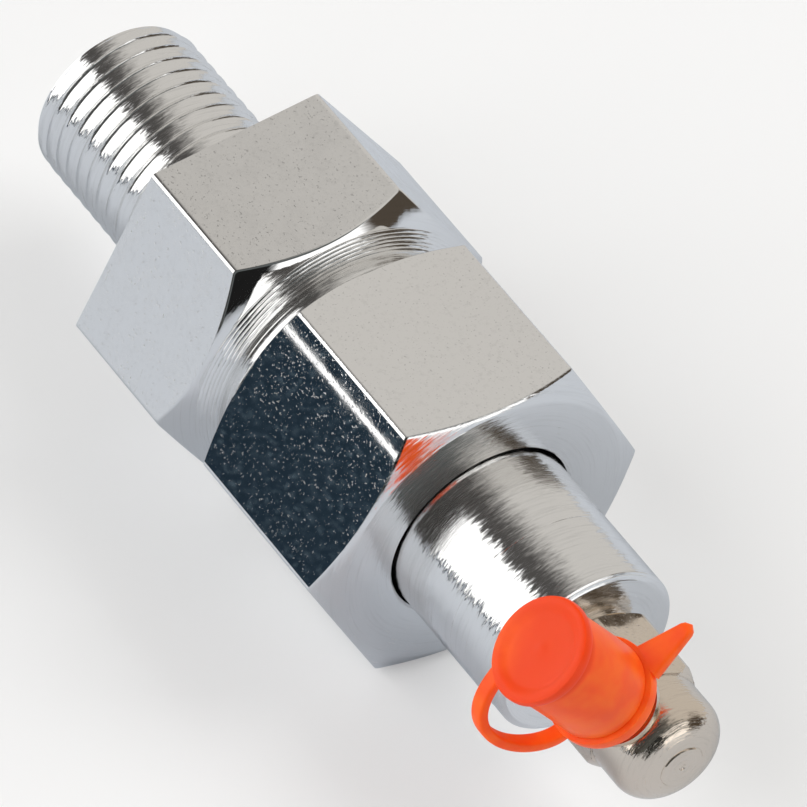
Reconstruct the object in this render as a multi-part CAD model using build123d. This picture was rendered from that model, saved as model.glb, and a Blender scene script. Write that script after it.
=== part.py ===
from build123d import *
import os
from math import cos, pi, radians, sin, sqrt

os.makedirs("parts", exist_ok=True)

# Swivelling grease nipple fitting, lying on its hexagons.
# The main axis runs along +X, from the stud thread to the nipple, and +Z is up.
# The origin is on that axis, at the shoulder where the stud thread meets its hexagon.
# It rests on the lowest corner of the stud's hexagon and the edge of the nut's lowest flat.
# Lengths are in millimetres and angles in degrees.

# ---- hexagons -------------------------------------------------------------
ACROSS_FLATS = 25.0
HEX_CORNER_R = ACROSS_FLATS / sqrt(3)
STUD_HEX_LENGTH = 13.0
STUD_HEX_TURN = 6.76             # the stud's hexagon stands this far round from the nut's
STUD_CHAMFER_R = 12.1            # where the hexagon's chamfer meets its end face
STUD_CHAMFER_SLOPE = 0.76        # axial run of that chamfer for each mm of radius
HEX_GAP = 3.5                    # visible neck between the two hexagons
NUT_LENGTH = 16.5
NUT_REAR_CHAMFER_R = 12.55
NUT_REAR_CHAMFER_SLOPE = 0.58
NUT_FRONT_CHAMFER_R = 12.15
NUT_FRONT_CHAMFER_SLOPE = 0.5

# ---- stud -----------------------------------------------------------------
STUD_THREAD_R = 7.12             # crest radius of the 9/16-18 thread
STUD_THREAD_LENGTH = 17.8
STUD_END_CHAMFER = 0.6
STUD_BORE_R = 2.0
NECK_SHOULDER_R = 10.9           # small end of the turned cone behind the hexagon
NECK_R = 10.3
UNION_THREAD_R = 10.0            # M20 x 1.5 thread under the nut
UNION_THREAD_LENGTH = 10.5
UNION_THREAD_CHAMFER = 0.8

# ---- seal spigot ----------------------------------------------------------
SPIGOT_R = 5.0
SPIGOT_LENGTH = 4.2
SPIGOT_BORE_R = 1.5
SEAL_GROOVE_DEPTH = 1.1
SEAL_GROOVE_WIDTH = 1.3
SEAL_HEIGHT = 1.0
SEAL_WIDTH = 1.0
SEAL_CORNER = 0.2

# ---- barrel ---------------------------------------------------------------
BARREL_R = 7.5
BARREL_FLANGE_LENGTH = 2.9
BARREL_PROJECTION = 13.75        # from the nut's front face to the barrel's end face
BARREL_END_CHAMFER = 0.6
BARREL_PASSAGE_R = 1.8
NUT_BORE_R = 8.1
NUT_BORE_CHAMFER = 0.35

# ---- nipple ---------------------------------------------------------------
NIPPLE_ACROSS_FLATS = 9.0
NIPPLE_TURN = 37.43              # the head leans this far from straight up, towards -Y
NIPPLE_SHANK_R = 3.0             # M6 thread
NIPPLE_SHANK_LENGTH = 5.5
NIPPLE_COLLAR_R = 4.1
NIPPLE_COLLAR_LENGTH = 0.6
NIPPLE_BODY_LENGTH = 12.6
NIPPLE_TURNED_R = 4.52
NIPPLE_TURNED_LENGTH = 5.2
NIPPLE_DOME_LENGTH = 2.6
NIPPLE_TIP_R = 2.3
NIPPLE_PASSAGE_R = 0.9
HEAD_OFFSET = 7.75               # from the barrel's end face to the head's own axis

# ---- head, measured outward from the main axis ----------------------------
HEAD_R = 3.25
HEAD_NECK_R = 2.5
HEAD_SHANK_R = 2.5
HEAD_SHANK_START = 1.6
HEAD_FLANGE_R = 3.15
HEAD_FLANGE_HEIGHT = 0.5
HEAD_NECK_TOP = 8.4
HEAD_RIM_LENGTH = 1.7
HEAD_CONE_TOP = 13.2
HEAD_TIP_R = 1.5
HEAD_TIP_TOP = 13.5
CHAMBER_R = 1.3
CHAMBER_START = 8.2
CHAMBER_END = 12.7
MOUTH_R = 0.7
BALL_R = 1.1
SPRING_WIRE = 0.26
SPRING_TURNS = 5
SPRING_SIDES = 12                # straight steps in each turn

# ---- dust cap, measured along the head's axis -----------------------------
CAP_R = 3.9
CAP_DISC_R = 4.25
CAP_DISC_THICKNESS = 0.8
CAP_TOP = 16.5
CAP_CAVITY_TOP = 15.2
CAP_MOUTH = 8.25
CAP_RING_START = 7.0
CAP_RING_THICKNESS = 1.1
CAP_RING_R = 4.1
TAB_REACH = 8.0
TAB_ROOT_WIDTH = 3.2
TAB_TIP_WIDTH = 1.5
TAB_ANGLE = 84.0                 # round the head's axis, from +X
STRAP_WIDTH = 1.5
STRAP_THICKNESS = 0.9
STRAP_REACH = 7.9                # from the head's axis to the middle of the strap
STRAP_LEAN = 15.0                # the strap's plane leans this far from the head's axis

# ---- clearances -----------------------------------------------------------
THREAD_GAP = 0.05                # between the plain cylinders that stand for meshing threads
SWIVEL_GAP = 0.05                # spigot in the barrel's bore
END_FLOAT = 0.1                  # at each side of the barrel's flange
FLANGE_CLEARANCE = 0.35          # barrel's flange in the nut's thread
PRESS_GAP = 0.01                 # pressed-in head
SEAL_GAP = 0.05                  # seal ring to the floor of its groove
CAP_GAP = 0.05                   # soft cap to the head's rim
BALL_GAP = 0.02                  # ball to its seat

# ---- stations along the main axis -----------------------------------------
NUT_START = STUD_HEX_LENGTH + HEX_GAP
NUT_END = NUT_START + NUT_LENGTH
NECK_END = NUT_START - 0.5
STUD_END = NECK_END + UNION_THREAD_LENGTH
SPIGOT_END = STUD_END + SPIGOT_LENGTH
FLANGE_START = STUD_END + END_FLOAT
FLANGE_END = FLANGE_START + BARREL_FLANGE_LENGTH
NUT_SHOULDER = FLANGE_END + END_FLOAT
BARREL_END = NUT_END + BARREL_PROJECTION
NIPPLE_END = BARREL_END + NIPPLE_BODY_LENGTH
HEAD_X = BARREL_END + HEAD_OFFSET

HEAD_PLACE = Pos(HEAD_X, 0, 0) * Rot(NIPPLE_TURN, 0, 0)


def turned(points):
    """Solid of revolution about the main axis from (x, radius) points."""
    outline = Polyline(*[(x, 0, radius) for x, radius in points], close=True)
    return revolve(make_face(outline), Axis.X, 360)


def turned_upright(points):
    """Solid of revolution about Z from (height, radius) points."""
    outline = Polyline(*[(radius, 0, height) for height, radius in points], close=True)
    return revolve(make_face(outline), Axis.Z, 360)


def rod(radius, start, end):
    """Round bar along the main axis."""
    return turned([(start, 0), (start, radius), (end, radius), (end, 0)])


def hexagon(across_flats, start, end, turn=0.0):
    """Hexagonal bar along the main axis with two flats square to Z before the turn."""
    section = Plane.YZ * RegularPolygon(across_flats / sqrt(3), 6)
    bar = extrude(section, amount=end - start)
    return Pos(start, 0, 0) * Rot(turn, 0, 0) * bar


def save(solid, name):
    """Write one node; every node is a single solid."""
    pieces = solid.solids()
    if len(pieces) != 1:
        raise ValueError(name + " should be one solid, not " + str(len(pieces)))
    pieces[0].label = name
    export_step(pieces[0], os.path.join("parts", name + ".step"))


# ---- stud_body ------------------------------------------------------------
# One turned piece of hexagonal bar: stud thread, hexagon, cone, union thread and seal spigot.
OVER_R = HEX_CORNER_R + 1.0
stud_hex_limit = turned([
    (0, 0),
    (0, OVER_R),
    (STUD_HEX_LENGTH - (OVER_R - STUD_CHAMFER_R) * STUD_CHAMFER_SLOPE, OVER_R),
    (STUD_HEX_LENGTH, STUD_CHAMFER_R),
    (STUD_HEX_LENGTH, 0),
])
stud_hex = hexagon(ACROSS_FLATS, 0, STUD_HEX_LENGTH, STUD_HEX_TURN) & stud_hex_limit
CONE_END = STUD_HEX_LENGTH + STUD_CHAMFER_R - NECK_SHOULDER_R
GROOVE_FLOOR_R = SPIGOT_R - SEAL_GROOVE_DEPTH
GROOVE_START = STUD_END + (SPIGOT_LENGTH - SEAL_GROOVE_WIDTH) / 2
GROOVE_END = GROOVE_START + SEAL_GROOVE_WIDTH
stud_turned = turned([
    (-STUD_THREAD_LENGTH, 0),
    (-STUD_THREAD_LENGTH, STUD_THREAD_R - STUD_END_CHAMFER),
    (-STUD_THREAD_LENGTH + STUD_END_CHAMFER, STUD_THREAD_R),
    (1.0, STUD_THREAD_R),
    (1.0, NECK_R),
    (STUD_HEX_LENGTH, STUD_CHAMFER_R),
    (CONE_END, NECK_SHOULDER_R),
    (CONE_END, NECK_R),
    (NECK_END, NECK_R),
    (NECK_END, UNION_THREAD_R),
    (STUD_END - UNION_THREAD_CHAMFER, UNION_THREAD_R),
    (STUD_END, UNION_THREAD_R - UNION_THREAD_CHAMFER),
    (STUD_END, SPIGOT_R),
    (GROOVE_START, SPIGOT_R),
    (GROOVE_START, GROOVE_FLOOR_R),
    (GROOVE_END, GROOVE_FLOOR_R),
    (GROOVE_END, SPIGOT_R),
    (SPIGOT_END - 0.3, SPIGOT_R),
    (SPIGOT_END, SPIGOT_R - 0.3),
    (SPIGOT_END, 0),
])
stud_bore = turned([
    (-STUD_THREAD_LENGTH - 1, 0),
    (-STUD_THREAD_LENGTH - 1, STUD_BORE_R),
    (STUD_HEX_LENGTH, STUD_BORE_R),
    (STUD_HEX_LENGTH + STUD_BORE_R - SPIGOT_BORE_R, SPIGOT_BORE_R),
    (SPIGOT_END + 1, SPIGOT_BORE_R),
    (SPIGOT_END + 1, 0),
])
save(stud_hex + stud_turned - stud_bore, "stud_body")

# ---- union_nut ------------------------------------------------------------
# Hexagon nut over the union thread; its front shoulder holds the barrel's flange.
nut_limit = turned([
    (NUT_START, 0),
    (NUT_START, NUT_REAR_CHAMFER_R),
    (NUT_START + (OVER_R - NUT_REAR_CHAMFER_R) * NUT_REAR_CHAMFER_SLOPE, OVER_R),
    (NUT_END - (OVER_R - NUT_FRONT_CHAMFER_R) * NUT_FRONT_CHAMFER_SLOPE, OVER_R),
    (NUT_END, NUT_FRONT_CHAMFER_R),
    (NUT_END, 0),
])
NUT_THREAD_R = UNION_THREAD_R + THREAD_GAP
nut_bore = turned([
    (NUT_START - 1, 0),
    (NUT_START - 1, NUT_THREAD_R + 0.6),
    (NUT_START, NUT_THREAD_R + 0.6),
    (NUT_START + 0.6, NUT_THREAD_R),
    (NUT_SHOULDER, NUT_THREAD_R),
    (NUT_SHOULDER, NUT_BORE_R),
    (NUT_END - NUT_BORE_CHAMFER, NUT_BORE_R),
    (NUT_END, NUT_BORE_R + NUT_BORE_CHAMFER),
    (NUT_END + 1, NUT_BORE_R + NUT_BORE_CHAMFER),
    (NUT_END + 1, 0),
])
save((hexagon(ACROSS_FLATS, NUT_START, NUT_END) & nut_limit) - nut_bore, "union_nut")

# ---- swivel_seal ----------------------------------------------------------
# Square-section rubber ring in the spigot's groove, sealing against the barrel's bore.
SEAL_START = (GROOVE_START + GROOVE_END - SEAL_WIDTH) / 2
SEAL_END = SEAL_START + SEAL_WIDTH
SEAL_INNER_R = GROOVE_FLOOR_R + SEAL_GAP
SEAL_OUTER_R = SEAL_INNER_R + SEAL_HEIGHT
seal = turned([
    (SEAL_START, SEAL_INNER_R),
    (SEAL_START, SEAL_OUTER_R - SEAL_CORNER),
    (SEAL_START + SEAL_CORNER, SEAL_OUTER_R),
    (SEAL_END - SEAL_CORNER, SEAL_OUTER_R),
    (SEAL_END, SEAL_OUTER_R - SEAL_CORNER),
    (SEAL_END, SEAL_INNER_R),
])
save(seal, "swivel_seal")

# ---- swivel_barrel --------------------------------------------------------
# Round barrel, free to turn: a flange behind the nut's shoulder, a seal bore and a tapped end.
BARREL_BORE_R = SPIGOT_R + SWIVEL_GAP
BARREL_FLANGE_R = NUT_THREAD_R - FLANGE_CLEARANCE
TAP_START = BARREL_END - NIPPLE_SHANK_LENGTH - 0.5
barrel = turned([
    (FLANGE_START, 0),
    (FLANGE_START, BARREL_FLANGE_R - 0.3),
    (FLANGE_START + 0.3, BARREL_FLANGE_R),
    (FLANGE_END, BARREL_FLANGE_R),
    (FLANGE_END, BARREL_R),
    (BARREL_END - BARREL_END_CHAMFER, BARREL_R),
    (BARREL_END, BARREL_R - BARREL_END_CHAMFER),
    (BARREL_END, 0),
])
TAP_R = NIPPLE_SHANK_R + THREAD_GAP
barrel_bore = turned([
    (FLANGE_START - 1, 0),
    (FLANGE_START - 1, BARREL_BORE_R),
    (SPIGOT_END + 0.6, BARREL_BORE_R),
    (SPIGOT_END + 0.6, BARREL_PASSAGE_R),
    (TAP_START, BARREL_PASSAGE_R),
    (TAP_START, TAP_R),
    (BARREL_END + 1, TAP_R),
    (BARREL_END + 1, 0),
])
save(barrel - barrel_bore, "swivel_barrel")

# ---- nipple_body ----------------------------------------------------------
# Hexagonal elbow body: M6 shank, seat collar, hexagon and a domed turned end.
DOME_START = NIPPLE_END - NIPPLE_DOME_LENGTH
TURNED_START = NIPPLE_END - NIPPLE_TURNED_LENGTH
HEX_START = BARREL_END + NIPPLE_COLLAR_LENGTH
NIPPLE_CORNER_R = NIPPLE_ACROSS_FLATS / sqrt(3)
dome_outline = (
    Polyline(
        (DOME_START, 0, NIPPLE_TURNED_R),
        (TURNED_START, 0, NIPPLE_TURNED_R),
        (TURNED_START - 1.2, 0, NIPPLE_CORNER_R + 0.1),
        (HEX_START + 0.6, 0, NIPPLE_CORNER_R + 0.1),
        (HEX_START, 0, NIPPLE_COLLAR_R + 0.2),
        (HEX_START, 0, 0),
        (NIPPLE_END, 0, 0),
        (NIPPLE_END, 0, NIPPLE_TIP_R),
    )
    + ThreePointArc(
        (NIPPLE_END, 0, NIPPLE_TIP_R),
        (NIPPLE_END - 0.32 * NIPPLE_DOME_LENGTH, 0, NIPPLE_TIP_R + 0.68 * (NIPPLE_TURNED_R - NIPPLE_TIP_R)),
        (DOME_START, 0, NIPPLE_TURNED_R),
    )
)
nipple_limit = revolve(make_face(dome_outline), Axis.X, 360)
nipple_hex = hexagon(NIPPLE_ACROSS_FLATS, HEX_START, NIPPLE_END, 0) & nipple_limit
nipple_shank = turned([
    (BARREL_END - NIPPLE_SHANK_LENGTH, 0),
    (BARREL_END - NIPPLE_SHANK_LENGTH, NIPPLE_SHANK_R - 0.4),
    (BARREL_END - NIPPLE_SHANK_LENGTH + 0.4, NIPPLE_SHANK_R),
    (BARREL_END, NIPPLE_SHANK_R),
    (BARREL_END, NIPPLE_COLLAR_R),
    (HEX_START, NIPPLE_COLLAR_R),
    (HEX_START, 0),
])
nipple_passage = rod(NIPPLE_PASSAGE_R, BARREL_END - NIPPLE_SHANK_LENGTH - 1, HEAD_X)
head_socket = Pos(HEAD_X, 0, HEAD_SHANK_START) * extrude(Circle(HEAD_SHANK_R), amount=10)
cross_hole = Pos(HEAD_X, 0, 0) * extrude(Circle(NIPPLE_PASSAGE_R), amount=10)
nipple = nipple_hex + nipple_shank - nipple_passage - head_socket - cross_hole
save(Rot(NIPPLE_TURN, 0, 0) * nipple, "nipple_body")

# ---- nipple_head ----------------------------------------------------------
# Turned coupling head pressed into the elbow body, with the valve chamber inside.
FLAT_HEIGHT = NIPPLE_ACROSS_FLATS / 2
RIM_START = HEAD_NECK_TOP + HEAD_R - HEAD_NECK_R
head_outer = turned_upright([
    (HEAD_SHANK_START, 0),
    (HEAD_SHANK_START, HEAD_SHANK_R - PRESS_GAP),
    (FLAT_HEIGHT, HEAD_SHANK_R - PRESS_GAP),
    (FLAT_HEIGHT, HEAD_FLANGE_R),
    (FLAT_HEIGHT + HEAD_FLANGE_HEIGHT, HEAD_FLANGE_R),
    (FLAT_HEIGHT + HEAD_FLANGE_HEIGHT, HEAD_NECK_R),
    (HEAD_NECK_TOP, HEAD_NECK_R),
    (RIM_START, HEAD_R),
    (RIM_START + HEAD_RIM_LENGTH, HEAD_R),
    (HEAD_CONE_TOP, HEAD_TIP_R),
    (HEAD_TIP_TOP, HEAD_TIP_R - 0.3),
    (HEAD_TIP_TOP, 0),
])
head_bore = turned_upright([
    (HEAD_SHANK_START - 1, 0),
    (HEAD_SHANK_START - 1, NIPPLE_PASSAGE_R),
    (CHAMBER_START, NIPPLE_PASSAGE_R),
    (CHAMBER_START, CHAMBER_R),
    (CHAMBER_END, CHAMBER_R),
    (CHAMBER_END + CHAMBER_R - MOUTH_R, MOUTH_R),
    (HEAD_TIP_TOP + 1, MOUTH_R),
    (HEAD_TIP_TOP + 1, 0),
])
save(HEAD_PLACE * (head_outer - head_bore), "nipple_head")

# ---- valve_ball -----------------------------------------------------------
# Steel ball held against the 45 degree seat under the mouth.
BALL_HEIGHT = CHAMBER_END + CHAMBER_R - (BALL_R + BALL_GAP) * sqrt(2)
save(HEAD_PLACE * Pos(0, 0, BALL_HEIGHT) * Sphere(BALL_R), "valve_ball")

# ---- valve_spring ---------------------------------------------------------
# Small coil spring between the step in the chamber and the ball, wound from square wire.
SPRING_R = CHAMBER_R - SPRING_WIRE - 0.1
SPRING_REACH = BALL_R + SPRING_WIRE
SPRING_START = CHAMBER_START + SPRING_WIRE / 2 + BALL_GAP
SPRING_TOP = BALL_HEIGHT - sqrt(SPRING_REACH ** 2 - SPRING_R ** 2)
SPRING_LENGTH = SPRING_TOP - SPRING_START
SPRING_STEPS = SPRING_TURNS * SPRING_SIDES
spring_points = [
    (
        SPRING_R * cos(2 * pi * step / SPRING_SIDES),
        SPRING_R * sin(2 * pi * step / SPRING_SIDES),
        SPRING_START + SPRING_LENGTH * step / SPRING_STEPS,
    )
    for step in range(SPRING_STEPS + 1)
]
spring_path = Polyline(*spring_points)
spring_section = Plane(spring_path @ 0, z_dir=spring_path % 0) * Rectangle(SPRING_WIRE, SPRING_WIRE)
spring = sweep(spring_section, path=spring_path, transition=Transition.RIGHT)
save(HEAD_PLACE * spring, "valve_spring")

# ---- dust_cap -------------------------------------------------------------
# One soft moulding: cap with a wider disc on top, strap, neck ring and pull tab.
CAP_CAVITY_R = HEAD_R + CAP_GAP
RING_END = CAP_RING_START + CAP_RING_THICKNESS
cap_shell = turned_upright([
    (CAP_MOUTH, CAP_CAVITY_R),
    (CAP_MOUTH, CAP_R),
    (CAP_TOP - CAP_DISC_THICKNESS, CAP_R),
    (CAP_TOP - CAP_DISC_THICKNESS, CAP_DISC_R),
    (CAP_TOP, CAP_DISC_R),
    (CAP_TOP, 0),
    (CAP_CAVITY_TOP, 0),
    (CAP_CAVITY_TOP, CAP_CAVITY_R),
])
neck_ring = turned_upright([
    (CAP_RING_START, CAP_CAVITY_R),
    (CAP_RING_START, CAP_RING_R),
    (RING_END, CAP_RING_R),
    (RING_END, CAP_CAVITY_R),
])
RING_MID_R = (CAP_CAVITY_R + CAP_RING_R) / 2
tab_outline = Polyline(
    (RING_MID_R, -TAB_ROOT_WIDTH / 2),
    (RING_MID_R, TAB_ROOT_WIDTH / 2),
    (TAB_REACH, TAB_TIP_WIDTH / 2),
    (TAB_REACH, -TAB_TIP_WIDTH / 2),
    close=True,
)
pull_tab = Rot(0, 0, TAB_ANGLE) * Pos(0, 0, CAP_RING_START) * extrude(
    make_face(tab_outline), amount=CAP_RING_THICKNESS
)


DISC_MID = CAP_TOP - CAP_DISC_THICKNESS / 2
RING_MID = CAP_RING_START + CAP_RING_THICKNESS / 2
strap_path = FilletPolyline(
    (RING_MID_R, RING_MID),
    (STRAP_REACH - 0.9, RING_MID),
    (STRAP_REACH, (RING_MID + DISC_MID) / 2),
    (STRAP_REACH - 1.2, DISC_MID),
    (RING_MID_R, DISC_MID),
    radius=1.8,
)
strap_plane = Plane(origin=(0, 0, 0), x_dir=(0, -1, 0), z_dir=(-1, 0, 0))
strap_band = trace(strap_path, STRAP_THICKNESS)
strap_side = extrude(strap_plane * strap_band, amount=STRAP_WIDTH / 2, both=True)
strap = Pos(0, 0, RING_MID) * Rot(0, -STRAP_LEAN, 0) * Pos(0, 0, -RING_MID) * strap_side
dust_cap = cap_shell + neck_ring + pull_tab + strap
save(HEAD_PLACE * dust_cap, "dust_cap")
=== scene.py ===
import bmesh
import bpy
from math import atan2, cos, hypot, pi, radians, sin, sqrt, tan
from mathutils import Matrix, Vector


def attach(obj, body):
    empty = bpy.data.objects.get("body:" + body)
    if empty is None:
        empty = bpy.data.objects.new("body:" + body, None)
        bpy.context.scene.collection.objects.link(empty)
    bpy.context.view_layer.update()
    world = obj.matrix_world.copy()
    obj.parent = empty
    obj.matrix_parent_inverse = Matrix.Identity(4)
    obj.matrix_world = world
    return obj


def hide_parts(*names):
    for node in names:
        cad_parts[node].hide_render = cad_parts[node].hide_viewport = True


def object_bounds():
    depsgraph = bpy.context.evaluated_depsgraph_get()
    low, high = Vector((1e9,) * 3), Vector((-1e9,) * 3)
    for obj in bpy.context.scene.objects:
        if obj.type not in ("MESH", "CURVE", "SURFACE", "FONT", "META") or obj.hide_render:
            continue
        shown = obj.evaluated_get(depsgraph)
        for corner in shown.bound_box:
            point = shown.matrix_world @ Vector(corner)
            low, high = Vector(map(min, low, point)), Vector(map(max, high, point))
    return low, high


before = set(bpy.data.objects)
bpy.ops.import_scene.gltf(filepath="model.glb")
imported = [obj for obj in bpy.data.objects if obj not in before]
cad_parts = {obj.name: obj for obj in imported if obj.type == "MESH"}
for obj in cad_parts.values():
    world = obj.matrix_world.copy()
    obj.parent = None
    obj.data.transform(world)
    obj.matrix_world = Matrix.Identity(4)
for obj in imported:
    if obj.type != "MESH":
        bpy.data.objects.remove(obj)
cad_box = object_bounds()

# ---- studio ---------------------------------------------------------------
# A pale sheet of paper under the fitting. The metal mirrors a long white box on the -Y side,
# a black flag below that box, a dark gap above it and a beige ceiling.

MM = 0.001
FLOOR_Z = cad_box[0][2]

camera_data = bpy.data.cameras.new("camera")
camera_data.lens = 427.8
camera_data.sensor_width = 36
camera_data.clip_start = 0.05
camera_data.clip_end = 20
camera = bpy.data.objects.new("camera", camera_data)
camera.location = (0.40247, -0.30171, 0.51181)
camera.rotation_euler = (radians(43.44), radians(-5.03), radians(56.874))
bpy.context.collection.objects.link(camera)
bpy.context.scene.camera = camera
bpy.context.scene.view_settings.view_transform = "Standard"


class Wire:
    """A node's output, with ordinary arithmetic on it."""

    def __init__(self, nodes, socket):
        self.nodes = nodes
        self.socket = socket

    def __add__(self, other):
        return self.nodes.maths("ADD", self, other)

    def __sub__(self, other):
        return self.nodes.maths("SUBTRACT", self, other)

    def __rsub__(self, other):
        return self.nodes.maths("SUBTRACT", other, self)

    def __mul__(self, other):
        return self.nodes.maths("MULTIPLY", self, other)

    def __truediv__(self, other):
        return self.nodes.maths("DIVIDE", self, other)

    def __abs__(self):
        return self.nodes.maths("ABSOLUTE", self)

    __radd__ = __add__
    __rmul__ = __mul__


class Nodes:
    """The node tree of a material or of the world, with one method that adds any node."""

    def __init__(self, owner):
        owner.use_nodes = True
        self.tree = owner.node_tree
        self.tree.nodes.clear()

    def add(self, kind, settings, *values, out=0, **named):
        node = self.tree.nodes.new(kind)
        for name, value in settings.items():
            setattr(node, name, value)
        pairs = list(zip(node.inputs, values))
        pairs += [(node.inputs[name.replace("_", " ")], value) for name, value in named.items()]
        for socket, value in pairs:
            if isinstance(value, Wire):
                self.tree.links.new(value.socket, socket)
            elif value is not None:
                socket.default_value = value
        return Wire(self, node.outputs[out]) if len(node.outputs) else node

    def maths(self, operation, *values):
        return self.add("ShaderNodeMath", {"operation": operation}, *values)

    def step(self, value, low, high):
        """0 below low, 1 above high, and a soft ramp between."""
        return self.add("ShaderNodeMapRange", {"interpolation_type": "SMOOTHSTEP"},
                        value, low, high, 0.0, 1.0)

    def mix(self, amount, first, second):
        """Blend of two colours."""
        return self.add("ShaderNodeMix", {"data_type": "RGBA"}, amount, None, None, None,
                        None, None, first, second, out=2)

    def parts(self, vector):
        """The three components of a vector."""
        node = self.tree.nodes.new("ShaderNodeSeparateXYZ")
        self.tree.links.new(vector.socket, node.inputs[0])
        return [Wire(self, output) for output in node.outputs]

    def join(self, x, y, z):
        return self.add("ShaderNodeCombineXYZ", {}, x, y, z)

    def place(self):
        """Object coordinates in millimetres."""
        metres = self.add("ShaderNodeTexCoord", {}, out=3)
        scaled = self.add("ShaderNodeVectorMath", {"operation": "SCALE"}, metres, Scale=1000.0)
        return self.parts(scaled)

    def noise(self, x, y, z, detail=2.0, roughness=0.5):
        """Noise of about one lump in each unit."""
        return self.add("ShaderNodeTexNoise", {}, self.join(x, y, z), Scale=1.0, Detail=detail,
                        Roughness=roughness)

    def finish(self, shader):
        self.add("ShaderNodeOutputMaterial", {}, shader)


def grey(level):
    return (level, level, level, 1.0)


world = bpy.data.worlds.new("studio")
bpy.context.scene.world = world
sky = Nodes(world)
toward_x, toward_y, toward_z = sky.parts(sky.add("ShaderNodeTexCoord", {}, out=0))
# Angle round the fitting's axis: 0 is straight up, -90 the -Y horizon and 90 the +Y one.
lean = sky.maths("ARCTAN2", toward_y, toward_z) * (180 / pi)
# The white box ends just past the middle of the fitting, and the wall beyond it is dark.
WHITE_BOX = grey(1.5)
WALL = (0.05, 0.048, 0.046, 1.0)
GAP = (0.075, 0.071, 0.068, 1.0)
CEILING = (0.60, 0.58, 0.55, 1.0)
box_and_wall = sky.mix(sky.step(toward_x, -0.05, 0.15), WHITE_BOX, WALL)
colours = sky.mix(sky.step(lean, -36, -27), box_and_wall, GAP)
colours = sky.mix(sky.step(lean, -14, 26), colours, CEILING)
# The far +X side of the room is dim, with a brown and a black corner. A bright box near the
# floor faces the fitting's nipple end.
colours = sky.mix(sky.step(toward_x, 0.58, 0.68), colours, (0.105, 0.115, 0.115, 1.0))
brown_corner = sky.step(toward_x, 0.25, 0.45) * sky.step(lean, 50, 62)
colours = sky.mix(brown_corner, colours, (0.075, 0.060, 0.046, 1.0))
black_corner = sky.step(toward_x, 0.80, 0.87) * (1.0 - sky.step(lean, -25, -5))
colours = sky.mix(black_corner, colours, grey(0.012))
end_box = (sky.step(toward_x, 0.45, 0.60) * sky.step(toward_y, -0.10, -0.02)
           * (1.0 - sky.step(toward_y, 0.50, 0.62)) * (1.0 - sky.step(toward_z, 0.40, 0.48)))
colours = sky.mix(end_box, colours, grey(1.3))
is_camera = sky.add("ShaderNodeLightPath", {}, out=0)
colours = sky.mix(is_camera, colours, grey(1.0))
sky.add("ShaderNodeOutputWorld", {}, sky.add("ShaderNodeBackground", {}, colours, 1.0))


def sheet_object(name, corners, material):
    """One flat four-cornered sheet."""
    shape = bmesh.new()
    shape.faces.new([shape.verts.new(corner) for corner in corners])
    mesh = bpy.data.meshes.new(name)
    shape.to_mesh(mesh)
    shape.free()
    mesh.materials.append(material)
    sheet = bpy.data.objects.new(name, mesh)
    bpy.context.collection.objects.link(sheet)
    return sheet


PAPER_HALF = 1.5
paper = bpy.data.materials.new("paper")
pulp = Nodes(paper)
is_glossy = pulp.add("ShaderNodeLightPath", {}, out=3)
paper_colour = pulp.mix(is_glossy, grey(0.94), (0.60, 0.64, 0.70, 1.0))
lit_paper = pulp.add("ShaderNodeBsdfPrincipled", {}, Base_Color=paper_colour, Roughness=0.9)
# Seen by the camera the paper has some white of its own, so the shadow on it stays pale.
WHITENESS = 0.30
seen = pulp.add("ShaderNodeLightPath", {}, out=0) * WHITENESS
white_paper = pulp.add("ShaderNodeEmission", {}, grey(1.0), 1.0)
pulp.finish(pulp.add("ShaderNodeMixShader", {}, seen, lit_paper, white_paper))
sheet_object("floor", [(-PAPER_HALF, -PAPER_HALF, FLOOR_Z), (PAPER_HALF, -PAPER_HALF, FLOOR_Z),
                       (PAPER_HALF, PAPER_HALF, FLOOR_Z), (-PAPER_HALF, PAPER_HALF, FLOOR_Z)], paper)

# The black flag stands on the paper, with a thin slit of light near its top. Cameras don't see
# it, because it would stand between a camera at the front and the fitting.
FLAG_Y = -0.30
FLAG_TOP = 0.0160
SLIT_BOTTOM = 0.0128
SLIT_TOP = 0.0134
FLAG_ENDS = (-0.60, 0.12)
card = bpy.data.materials.new("black_card")
felt = Nodes(card)
felt_x, felt_y, felt_z = felt.place()
nap = felt.step(felt.noise(felt_x * 0.9, felt_y, felt_z * 1.4, 5.0, 0.7), 0.48, 0.78)
felt_colour = felt.mix(nap, (0.020, 0.036, 0.056, 1.0), (0.14, 0.20, 0.25, 1.0))
felt.finish(felt.add("ShaderNodeBsdfPrincipled", {}, Base_Color=felt_colour, Roughness=1.0,
                     Specular_IOR_Level=0.0))
for name, low, high in (("flag_low", FLOOR_Z, SLIT_BOTTOM), ("flag_high", SLIT_TOP, FLAG_TOP)):
    flag = sheet_object(name, [(FLAG_ENDS[0], FLAG_Y, low), (FLAG_ENDS[1], FLAG_Y, low),
                               (FLAG_ENDS[1], FLAG_Y, high), (FLAG_ENDS[0], FLAG_Y, high)], card)
    flag.visible_camera = False

FITTING_MIDDLE = Vector((0.02, 0, 0))


def lamp(name, place, size, power):
    """Square soft lamp aimed at the fitting, which the metal doesn't mirror."""
    data = bpy.data.lights.new(name, "AREA")
    data.size = size
    data.energy = power
    holder = bpy.data.objects.new(name, data)
    holder.location = place
    aim = FITTING_MIDDLE - Vector(place)
    holder.rotation_euler = aim.to_track_quat("-Z", "Y").to_euler()
    holder.visible_glossy = False
    bpy.context.collection.objects.link(holder)


lamp("key", (0.15, 0.40, 0.50), 0.35, 1.75)
lamp("fill", (0.05, -0.42, 0.36), 0.40, 1.22)

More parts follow.
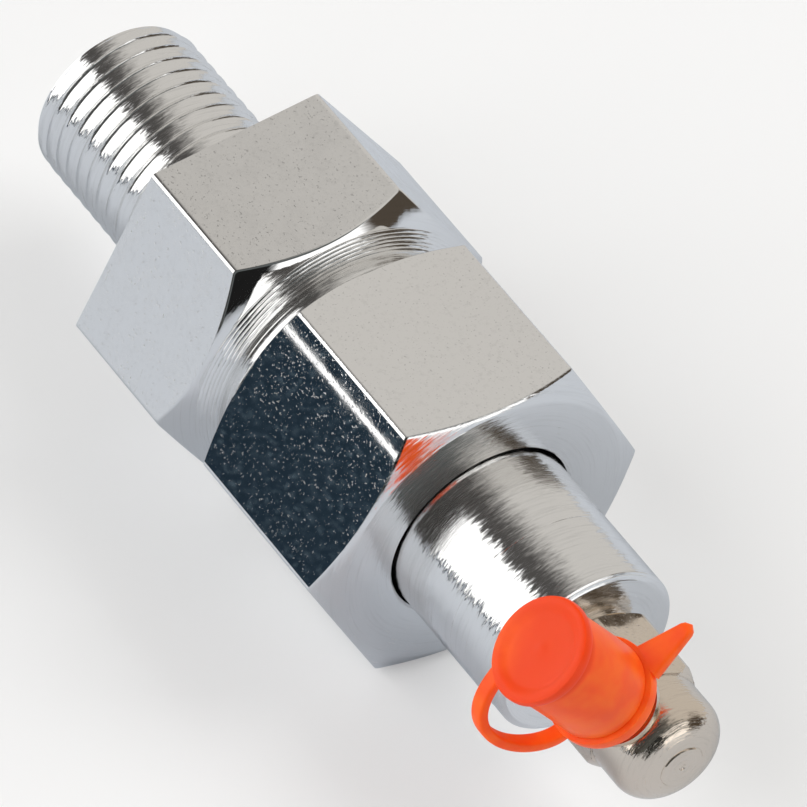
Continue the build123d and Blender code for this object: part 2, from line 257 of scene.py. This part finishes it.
# ---- stud -----------------------------------------------------------------
# Turned from hexagonal steel bar and zinc plated: a male thread, the hexagon and a coned neck.
# Its hidden end carries the union thread and the seal spigot.

ACROSS_FLATS = 25.0
# Degrees between the stud's hexagon and the nut's, which stands square.
STUD_TURN = 6.76
EDGE = 0.07
# A ring this many edges away from a chamfer's eased edge keeps the chamfer's face flat.
SUPPORT = 1.6
LEAST_CHAMFER = 2.4
ZINC = (0.90, 0.895, 0.885, 1.0)


def hexagon_outline(flats, turn, corner_r, flat_steps=16, corner_steps=4):
    """Angle and reach of points round a hexagon whose corners are rounded."""
    points = []
    centre = (flats / 2 - corner_r) / cos(pi / 6)
    for side in range(6):
        corner = side * pi / 3 + pi / 6
        arc = []
        for step in range(corner_steps + 1):
            swing = corner - pi / 6 + pi / 3 * step / corner_steps
            arc.append((centre * sin(corner) + corner_r * sin(swing),
                        centre * cos(corner) + corner_r * cos(swing)))
        following = corner + pi / 3
        goal = (centre * sin(following) + corner_r * sin(following - pi / 6),
                centre * cos(following) + corner_r * cos(following - pi / 6))
        # Short first and last steps keep the flat's shading even up to its corners.
        for share in [0.006] + [step / flat_steps for step in range(1, flat_steps)] + [0.994]:
            arc.append((arc[corner_steps][0] * (1 - share) + goal[0] * share,
                        arc[corner_steps][1] * (1 - share) + goal[1] * share))
        points += [(atan2(y, z) - radians(turn), hypot(y, z)) for y, z in arc]
    return points


def draw_out(shape, rings):
    """Tube through rings of points: a circle of edges, extruded from ring to ring."""
    verts = bmesh.ops.create_circle(shape, segments=len(rings[0]), radius=MM)["verts"]
    edges = [edge for edge in shape.edges if edge.is_wire]
    for vert, point in zip(verts, rings[0]):
        vert.co = point
    for ring in rings[1:]:
        drawn = bmesh.ops.extrude_edge_only(shape, edges=edges)["geom"]
        verts = [part for part in drawn if isinstance(part, bmesh.types.BMVert)]
        edges = [part for part in drawn if isinstance(part, bmesh.types.BMEdge) and part.is_boundary]
        for vert, point in zip(verts, ring):
            vert.co = point


def skin(rings):
    """Shape through rings of (x, radius, angle) points in millimetres. A radius of 0 closes an
    end, and a last ring that repeats the first closes a hollow piece."""
    shape = bmesh.new()
    draw_out(shape, [[(x * MM, r * sin(t) * MM, r * cos(t) * MM) for x, r, t in ring]
                     for ring in rings])
    bmesh.ops.remove_doubles(shape, verts=shape.verts, dist=0.0002 * MM)
    bmesh.ops.recalc_face_normals(shape, faces=shape.faces)
    return shape


def turned_rings(outline, profile):
    """Round rings at the outline's angles from (x, radius) points."""
    return [[(x, r, t) for t, _ in outline] for x, r in profile]


def chamfer_rings(outline, face, inward, low_r, slope):
    """Rings from the end face of a hexagonal bar, up its chamfer and onto the flats. The chamfer
    starts at the radius low_r, and inward is 1 or -1 along x."""
    rings = [[(face, min(low_r, reach) - EDGE, t) for t, reach in outline],
             [(face + inward * EDGE * slope, min(low_r + EDGE, reach), t) for t, reach in outline]]
    for before in (SUPPORT, 1, -1):
        ring = []
        for t, reach in outline:
            run = max((reach - low_r) * slope, LEAST_CHAMFER * EDGE) - before * EDGE
            low = min(reach, max(low_r, reach - before * EDGE / slope))
            ring.append((face + inward * run, low if before > 0 else reach, t))
        rings.append(ring)
    return rings


def add_piece(shape, name, material, nodes, body, crisp=24):
    """Make an object from a shape, with edges sharper than crisp degrees left sharp."""
    for face in shape.faces:
        face.smooth = True
    for edge in shape.edges:
        edge.smooth = len(edge.link_faces) == 2 and edge.calc_face_angle(0) < radians(crisp)
    mesh = bpy.data.meshes.new(name)
    shape.to_mesh(mesh)
    shape.free()
    mesh.materials.append(material)
    piece = bpy.data.objects.new(name, mesh)
    bpy.context.collection.objects.link(piece)
    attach(piece, body)
    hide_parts(*nodes)


# Most that tool chatter tilts a turned face, and the height of the metal's surface marks.
CHATTER_TILT = 0.36
RELIEF = 0.012 * MM


def plated_metal(name, turn, flat_width, tint, polish, ripple, pitting, tooling=1.0, bright_r=99.0):
    """Bright plate: specked flats, and fine rings wherever the piece was turned."""
    material = bpy.data.materials.new(name)
    steel = Nodes(material)
    x, y, z = steel.place()
    radius = steel.maths("SQRT", y * y + z * z)
    angle = steel.maths("ARCTAN2", y, z)
    # Tool marks run round the piece: fine along x and along the radius, long round the axis.
    marks = steel.noise(x * 5.0, radius * 5.0, angle * 1.6, 3.0, 0.65)
    streaks = steel.noise(x * 16.0, radius * 16.0, angle * 5.0, 2.0, 0.6)
    # Outside bright_r the turned faces are cut with a keen tool and stay bright.
    dull = 1.0 - 0.9 * steel.step(radius, bright_r, bright_r + 0.06)
    turned_height = (marks * 0.6 + streaks * 0.4) * dull * tooling
    turned_rough = 0.04 + (0.22 * steel.step(streaks, 0.40, 0.80) + 0.08 * marks) * dull
    reach = None
    for side in range(3):
        lean = radians(turn) + side * pi / 3
        across = abs(z * cos(lean) - y * sin(lean))
        reach = across if reach is None else steel.maths("MAXIMUM", reach, across)
    on_flat = 1.0 - steel.step(abs(reach - flat_width / 2), 0.01, 0.03)
    # Plate over drawn bar: soft waves, small pits and a few scratches.
    waves = steel.noise(x * 0.5, y * 0.5, z * 0.5, 2.0, 0.5)
    grain = steel.noise(x * 2.6, y * 2.6, z * 2.6, 3.0, 0.6)
    pits = steel.step(steel.noise(x * 4.4, y * 4.4, z * 4.4, 1.0, 0.5), 0.66, 0.72)
    scratch_noise = steel.noise(x * 0.9 + y * 1.3, y * 5.0 + x * 5.0, z * 5.0 - x * 3.0, 2.0, 0.6)
    scratches = steel.step(scratch_noise, 0.70, 0.74)
    flat_height = grain * ripple - pits * pitting - scratches * 0.4 * pitting
    flat_rough = polish + polish * steel.step(waves, 0.35, 0.7) + 0.06 * pits
    height = turned_height + (flat_height - turned_height) * on_flat
    rough = turned_rough + (flat_rough - turned_rough) * on_flat
    shade = (pits * 0.5 + steel.step(grain, 0.5, 0.75) * 0.22) * on_flat
    shade = shade + steel.step(marks, 0.5, 0.75) * 0.25 * (1.0 - on_flat)
    darker = tuple(0.62 * part for part in tint[:3]) + (1.0,)
    colour = steel.mix(shade, tint, darker)
    # Chatter of the tool tilts a turned face a little, back and forth round the axis.
    chatter = steel.noise(x * 7.0, radius * 7.0, angle * 8.0, 2.0, 0.6) - 0.5
    tilt = chatter * dull * (1.0 - on_flat) * CHATTER_TILT
    sideways = steel.join(0.0, tilt * z / radius, -1.0 * tilt * y / radius)
    normal = steel.add("ShaderNodeTexCoord", {}, out=1)
    normal = steel.add("ShaderNodeVectorMath", {"operation": "ADD"}, normal, sideways)
    normal = steel.add("ShaderNodeVectorTransform", {"vector_type": "NORMAL", "convert_from": "OBJECT",
                                                     "convert_to": "WORLD"}, normal)
    bump = steel.add("ShaderNodeBump", {}, Height=height, Strength=1.0, Distance=RELIEF,
                     Normal=normal)
    steel.finish(steel.add("ShaderNodeBsdfPrincipled", {}, Base_Color=colour, Metallic=1.0,
                           Roughness=rough, Normal=bump))
    return material


STUD_HEX = 13.0
CONE_R = 12.1
stud_metal = plated_metal("stud_plate", STUD_TURN, ACROSS_FLATS, ZINC, 0.12, 0.3, 0.5,
                          bright_r=CONE_R)
THREAD_R = 7.12
THREAD_DEPTH = 0.25
THREAD_PITCH = 25.4 / 18
THREAD_START = -17.8
CORE_R = THREAD_R - THREAD_DEPTH - 0.15
BORE_R = 2.0
stud_outline = hexagon_outline(ACROSS_FLATS, STUD_TURN, 0.45)
stud_rings = turned_rings(stud_outline, [
    (THREAD_START, BORE_R), (THREAD_START + 0.01, CORE_R), (0.2, CORE_R), (0, THREAD_R)])
# A chamfer that starts outside the corners leaves the shoulder square.
stud_rings += chamfer_rings(stud_outline, 0, 1, ACROSS_FLATS, 0.01)
stud_rings += chamfer_rings(stud_outline, STUD_HEX, -1, CONE_R, 0.76)[::-1]
# The cone is cut in fine steps, each with a thin groove behind it.
cone_lines = []
for step in range(6):
    down = 0.2 * step
    cone_lines += [(STUD_HEX + 0.03 + down, CONE_R - 0.03 - down),
                   (STUD_HEX + 0.17 + down, CONE_R - 0.17 - down),
                   (STUD_HEX + 0.19 + down, CONE_R - 0.22 - down)]
stud_rings += turned_rings(stud_outline, cone_lines + [
    (14.22, 10.86), (14.25, 10.8), (14.25, 10.35), (14.3, 10.3), (15.9, 10.3), (16.0, 10.2),
    (16.0, 10.0), (25.7, 10.0), (26.5, 9.2), (26.5, 5.0), (27.95, 5.0), (27.95, 3.9), (29.25, 3.9),
    (29.25, 5.0), (30.4, 5.0), (30.7, 4.7), (30.7, 1.5), (13.5, 1.5), (13.0, BORE_R)])
stud_shape = skin(stud_rings + stud_rings[:1])

# Rolled thread: one pitch of profile wound round the axis, then cut square at both ends.
THREAD_STEPS = 96
PROFILE_STEPS = 16
THREAD_END = 0.1
FIRST_TURN_CUT = 0.55
thread = bmesh.new()
ribbon = []
for step in range(PROFILE_STEPS + 1):
    along = (1 - cos(pi * step / PROFILE_STEPS)) / 2
    dip = 1 - abs(2 * along - 1) ** 6
    point = ((THREAD_START + (along - 2) * THREAD_PITCH) * MM, 0, (THREAD_R - THREAD_DEPTH * dip) * MM)
    vert = thread.verts.new(point)
    if step:
        ribbon.append(thread.edges.new((ribbon[-1], vert)))
    ribbon.append(vert)
turns = int(-THREAD_START / THREAD_PITCH) + 4
bmesh.ops.spin(thread, geom=ribbon, axis=(1, 0, 0), dvec=(THREAD_PITCH * MM / THREAD_STEPS, 0, 0),
               angle=2 * pi * turns, steps=THREAD_STEPS * turns, use_merge=False)
bmesh.ops.remove_doubles(thread, verts=thread.verts, dist=0.002 * MM)
for place, side in ((THREAD_START, -1), (THREAD_END, 1)):
    bmesh.ops.bisect_plane(thread, geom=thread.verts[:] + thread.edges[:] + thread.faces[:],
                           dist=0.0001 * MM, plane_co=(place * MM, 0, 0), plane_no=(side, 0, 0),
                           clear_outer=True)
for vert in thread.verts:
    # The first turn is chamfered at 45 degrees.
    limit = (THREAD_R - FIRST_TURN_CUT) * MM + (vert.co.x - THREAD_START * MM)
    reach = hypot(vert.co.y, vert.co.z)
    if reach > limit:
        vert.co.y *= limit / reach
        vert.co.z *= limit / reach
# Both ends turn in to a rim under the surface, and a plain tube joins the two rims.
rims = []
for place in (THREAD_START, THREAD_END):
    rim = [edge for edge in thread.edges if edge.is_boundary
           and all(abs(vert.co.x - place * MM) < 0.001 * MM for vert in edge.verts)]
    inner = bmesh.ops.extrude_edge_only(thread, edges=rim)["geom"]
    for vert in inner:
        if isinstance(vert, bmesh.types.BMVert):
            reach = hypot(vert.co.y, vert.co.z)
            vert.co.y *= (CORE_R - 0.1) * MM / reach
            vert.co.z *= (CORE_R - 0.1) * MM / reach
    rims += [edge for edge in inner if isinstance(edge, bmesh.types.BMEdge) and edge.is_boundary]
bmesh.ops.bridge_loops(thread, edges=rims)
bmesh.ops.recalc_face_normals(thread, faces=thread.faces)
thread_mesh = bpy.data.meshes.new("thread")
thread.to_mesh(thread_mesh)
thread.free()
stud_shape.from_mesh(thread_mesh)
bpy.data.meshes.remove(thread_mesh)
add_piece(stud_shape, "stud", stud_metal, ["stud_body"], "fitting")

# ---- union nut ------------------------------------------------------------
# Hexagonal steel nut, zinc plated bright and screwed over the stud's neck. The shoulder in its
# end holds the barrel's flange.

NUT_START = 16.5
NUT_END = 33.0
NUT_BORE_R = 7.7
SHOULDER = 29.6
nut_metal = plated_metal("nut_plate", 0.0, ACROSS_FLATS, ZINC, 0.011, 0.009, 0.06)
nut_outline = hexagon_outline(ACROSS_FLATS, 0.0, 0.32)
nut_rings = chamfer_rings(nut_outline, NUT_START, 1, 12.4, 0.58)
nut_rings += chamfer_rings(nut_outline, NUT_END, -1, 12.15, 0.5)[::-1]
nut_rings += turned_rings(nut_outline, [
    (NUT_END, NUT_BORE_R + 0.2), (NUT_END - 0.05, NUT_BORE_R + 0.13),
    (NUT_END - 0.15, NUT_BORE_R + 0.02), (NUT_END - 0.2, NUT_BORE_R), (SHOULDER, NUT_BORE_R),
    (SHOULDER, 10.05), (17.1, 10.05), (NUT_START, 10.65)])
add_piece(skin(nut_rings + nut_rings[:1]), "nut", nut_metal, ["union_nut"], "fitting")

# ---- seal -----------------------------------------------------------------
# Moulded rubber ring in the groove of the stud's spigot, hidden by the barrel. It keeps the
# grease in while the barrel turns.

rubber = bpy.data.materials.new("seal_rubber")
gum = Nodes(rubber)
bloom = gum.noise(*[part * 4.0 for part in gum.place()])
gum.finish(gum.add("ShaderNodeBsdfPrincipled", {}, Base_Color=gum.mix(bloom, grey(0.02), grey(0.05)),
                   Roughness=0.5 + 0.2 * bloom))
seal_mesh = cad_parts["swivel_seal"].data
seal_mesh.materials.clear()
seal_mesh.materials.append(rubber)

# ---- barrel ---------------------------------------------------------------
# Round steel bar, turned and zinc plated, that swivels in the nut. Its flange, behind the nut's
# shoulder, keeps it in. Its rim is chamfered twice, and a fine line is scored round it.

BARREL_R = 7.5
BARREL_END = 46.75
barrel_metal = plated_metal("barrel_plate", 0.0, ACROSS_FLATS, ZINC, 0.1, 0.3, 0.5)
SCORE = 40.3
ROUND_STEPS = 128
barrel_outline = [(2 * pi * step / ROUND_STEPS, 0) for step in range(ROUND_STEPS)]
barrel_rings = turned_rings(barrel_outline, [
    (26.6, 9.4), (26.9, 9.7), (29.5, 9.7), (29.5, BARREL_R), (SCORE - 0.05, BARREL_R),
    (SCORE - 0.02, BARREL_R - 0.05), (SCORE + 0.02, BARREL_R - 0.05), (SCORE + 0.05, BARREL_R),
    (46.4, BARREL_R), (46.44, 7.47), (46.53, 7.31), (46.56, 7.3), (46.58, 7.24), (46.72, 7.0),
    (BARREL_END, 6.97), (BARREL_END, 3.05), (40.75, 3.05), (40.75, 1.8), (31.3, 1.8), (31.3, 5.05),
    (26.6, 5.05)])
add_piece(skin(barrel_rings + barrel_rings[:1]), "barrel", barrel_metal, ["swivel_barrel"], "barrel",
          crisp=12)

# ---- elbow body -----------------------------------------------------------
# Nipple's body in nickel plated steel: a small hexagon with a turned and domed end, screwed into
# the barrel.

NICKEL = (0.82, 0.72, 0.61, 1.0)
# Degrees that the nipple's head leans from straight up towards -Y.
NIPPLE_TURN = 37.43
NIPPLE_FLATS = 9.0
ELBOW_HEX = 47.35
ELBOW_HEX_END = 54.15
elbow_metal = plated_metal("elbow_plate", NIPPLE_TURN, NIPPLE_FLATS, NICKEL, 0.13, 0.5, 0.6, 2.5)
elbow_outline = hexagon_outline(NIPPLE_FLATS, NIPPLE_TURN, 1.1, 10, 4)
DOME_START = 56.75
DOME_STEPS = 24
TIP = 59.2
TURNED_R = 4.44
TIP_R = 1.85
dome = []
for step in range(1, DOME_STEPS + 1):
    swing = pi / 2 * step / DOME_STEPS
    groove = 0.02 if step in (12, 17, 21) else 0.0
    dome.append((DOME_START + (TIP - 0.1 - DOME_START) * sin(swing) - groove,
                 TIP_R + (TURNED_R - TIP_R) * cos(swing) - groove))
# The tip is flat, with two turned grooves and a centre mark.
tip_face = [(TIP - 0.12, 1.8), (TIP - 0.02, 1.72), (TIP, 1.62), (TIP - 0.02, 1.3),
            (TIP - 0.03, 1.25), (TIP, 1.15), (TIP, 0.75), (TIP - 0.03, 0.68), (TIP, 0.6), (TIP, 0.3),
            (TIP - 0.08, 0.2), (TIP - 0.1, 0)]
elbow_rings = turned_rings(elbow_outline, [
    (41.25, 0), (41.25, 2.6), (41.65, 3.0), (BARREL_END, 3.0), (BARREL_END, 4.1),
    (ELBOW_HEX - 0.05, 4.1), (ELBOW_HEX, 4.15)])
elbow_rings += chamfer_rings(elbow_outline, ELBOW_HEX, 1, 4.4, 0.6)
elbow_rings += chamfer_rings(elbow_outline, ELBOW_HEX_END, -1, 4.56, 1.5)[::-1]
elbow_rings += turned_rings(elbow_outline, [(ELBOW_HEX_END + 0.05, TURNED_R), (DOME_START, TURNED_R)])
elbow_rings += turned_rings(elbow_outline, dome + tip_face)
add_piece(skin(elbow_rings), "elbow", elbow_metal, ["nipple_body"], "barrel")

# ---- head, ball and spring ------------------------------------------------
# Turned coupling head in nickel plated steel, fixed in the elbow. The ball that shuts its mouth
# and the ball's spring are inside.

head_metal = plated_metal("head_plate", 0.0, ACROSS_FLATS, NICKEL, 0.1, 0.3, 0.5)
for name in ("nipple_head", "valve_ball", "valve_spring"):
    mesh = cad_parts[name].data
    mesh.materials.clear()
    mesh.materials.append(head_metal)

# ---- dust cap -------------------------------------------------------------
# Soft polyethylene moulding, orange-red and slightly see-through: a cap with a dished disc, a
# pull tab and a strap to the ring round the head's neck. Its soft top sits askew.

plastic = bpy.data.materials.new("cap_plastic")
soft = Nodes(plastic)
cap_x, cap_y, cap_z = soft.place()
cloud = soft.noise(cap_x * 0.5, cap_y * 0.5, cap_z * 0.5)
cap_colour = soft.mix(soft.step(cloud, 0.3, 0.7), (0.84, 0.085, 0.010, 1), (0.92, 0.125, 0.012, 1))
# The disc is painted darker, as painted shade: it is thicker, so less light comes through it.
up_head = cap_z * cos(radians(NIPPLE_TURN)) - cap_y * sin(radians(NIPPLE_TURN))
cap_colour = soft.mix(soft.step(up_head, 15.3, 15.9), cap_colour, (0.76, 0.052, 0.004, 1))
# The cap glows faintly in its own colours: painted light that brightens the plastic.
soft.finish(soft.add("ShaderNodeBsdfPrincipled", {}, Base_Color=cap_colour,
                     Roughness=0.34 + 0.10 * cloud, IOR=1.5, Specular_IOR_Level=0.25,
                     Subsurface_Weight=0.3, Subsurface_Radius=(1.0, 0.25, 0.06),
                     Subsurface_Scale=0.0015, Emission_Color=cap_colour, Emission_Strength=0.16))

HEAD_X = 54.5
CAP_R = 3.75
DISC_R = 4.12
CAP_TOP = 16.35
CAVITY_R = 3.3
BEND_START = 11.0
cap_shape = bmesh.new()


def on_head(across, along, height):
    """Point beside the head's axis; above the head's rim the soft cap leans over."""
    share = max(0.0, (height - BEND_START) / (CAP_TOP - BEND_START)) ** 1.5
    height += share * (0.20 * across + 0.10 * along)
    across -= 0.9 * share
    along -= 0.4 * share
    lean = radians(NIPPLE_TURN)
    return (Vector((HEAD_X + across, along * cos(lean) - height * sin(lean),
                    along * sin(lean) + height * cos(lean))) * MM)


def head_rings(profile, steps=72):
    """Round rings about the head's axis from (radius, height) points."""
    return [[on_head(r * cos(2 * pi * step / steps), r * sin(2 * pi * step / steps), height)
             for step in range(steps)] for r, height in profile]


WALL_STEPS = 12
wall = [(CAP_R, 15.6 - 7.2 * step / WALL_STEPS) for step in range(WALL_STEPS + 1)]
inner_wall = [(CAVITY_R, 8.4 + 6.6 * step / WALL_STEPS) for step in range(WALL_STEPS + 1)]
disc = [(0.3, CAP_TOP - 0.16), (0.5, CAP_TOP - 0.22), (1.0, CAP_TOP - 0.26), (2.7, CAP_TOP - 0.26),
        (3.1, CAP_TOP - 0.18), (3.4, CAP_TOP - 0.02), (3.88, CAP_TOP), (4.05, CAP_TOP - 0.07),
        (DISC_R, CAP_TOP - 0.25), (DISC_R, CAP_TOP - 0.55), (4.05, CAP_TOP - 0.7),
        (3.88, CAP_TOP - 0.74), (3.78, CAP_TOP - 0.8)]
mouth = [(3.72, 8.3), (3.64, 8.25), (3.42, 8.25), (3.34, 8.3)]
draw_out(cap_shape, head_rings(disc + wall + mouth + inner_wall + [(3.2, 15.2), (0.3, 15.2)]))
neck_ring = [(3.3, 7.1), (3.4, 7.0), (3.95, 7.0), (4.08, 7.06), (4.12, 7.2), (4.12, 7.9),
             (4.08, 8.04), (3.95, 8.1), (3.4, 8.1), (3.3, 8.0)]
draw_out(cap_shape, head_rings(neck_ring + neck_ring[:1]))


def rounded_section(centre, side, up, half_width, half_height, steps=20):
    """Points round a soft-cornered rectangle, given in the head's own directions."""
    points = []
    for step in range(steps):
        swing = 2 * pi * step / steps
        wide = abs(cos(swing)) ** 0.5 * (1 if cos(swing) > 0 else -1) * half_width
        high = abs(sin(swing)) ** 0.5 * (1 if sin(swing) > 0 else -1) * half_height
        points.append(on_head(*(centre[axis] + side[axis] * wide + up[axis] * high
                                for axis in range(3))))
    return points


TAB_ANGLE = radians(86.0)
TAB_SHIFT = 0.6
TAB_LENGTH = 4.3
TAB_STEPS = 16
tab_out = (cos(TAB_ANGLE), sin(TAB_ANGLE), 0)
tab_side = (-sin(TAB_ANGLE), cos(TAB_ANGLE), 0)
tab_rings = []
for step in range(TAB_STEPS + 1):
    along = step / TAB_STEPS
    reach = CAP_R + TAB_LENGTH * along
    tip = sqrt(max(0.0, 1 - max(0.0, (along - 0.86) / 0.14) ** 2))
    width = (1.5 - 1.02 * along) * max(tip, 0.08)
    thickness = (0.55 - 0.18 * along) * max(tip, 0.1)
    centre = (tab_out[0] * reach + TAB_SHIFT, tab_out[1] * reach, 7.55 - 0.05 * along)
    tab_rings.append(rounded_section(centre, tab_side, (0, 0, 1), width, thickness))
draw_out(cap_shape, tab_rings)

# The strap follows one smooth curve in a plane that leans from the head's axis.
STRAP_LEAN = tan(radians(15.0))
STRAP_STEPS = 40
STRAP_ENDS = ((3.6, 7.5), (6.8, 7.3), (10.8, 15.1), (2.8, 15.3))


def strap_point(share):
    """Distance from the head's axis and height of the strap's middle."""
    weights = ((1 - share) ** 3, 3 * share * (1 - share) ** 2, 3 * share ** 2 * (1 - share), share ** 3)
    return [sum(weight * end[axis] for weight, end in zip(weights, STRAP_ENDS)) for axis in range(2)]


strap_rings = []
for step in range(STRAP_STEPS + 1):
    share = step / STRAP_STEPS
    reach, height = strap_point(share)
    ahead = strap_point(min(1.0, share + 0.01))
    behind = strap_point(max(0.0, share - 0.01))
    run = Vector((0, behind[0] - ahead[0], ahead[1] - behind[1])).normalized()
    centre = (-STRAP_LEAN * (height - 7.55), -reach, height)
    strap_rings.append(rounded_section(centre, (1, 0, 0), (0, run.z, -run.y), 0.68, 0.42))
draw_out(cap_shape, strap_rings)
bmesh.ops.remove_doubles(cap_shape, verts=cap_shape.verts, dist=0.0002 * MM)
rims = [edge for edge in cap_shape.edges if edge.is_boundary]
bmesh.ops.edgeloop_fill(cap_shape, edges=rims)
bmesh.ops.recalc_face_normals(cap_shape, faces=cap_shape.faces)
add_piece(cap_shape, "cap", plastic, ["dust_cap"], "cap", crisp=40)
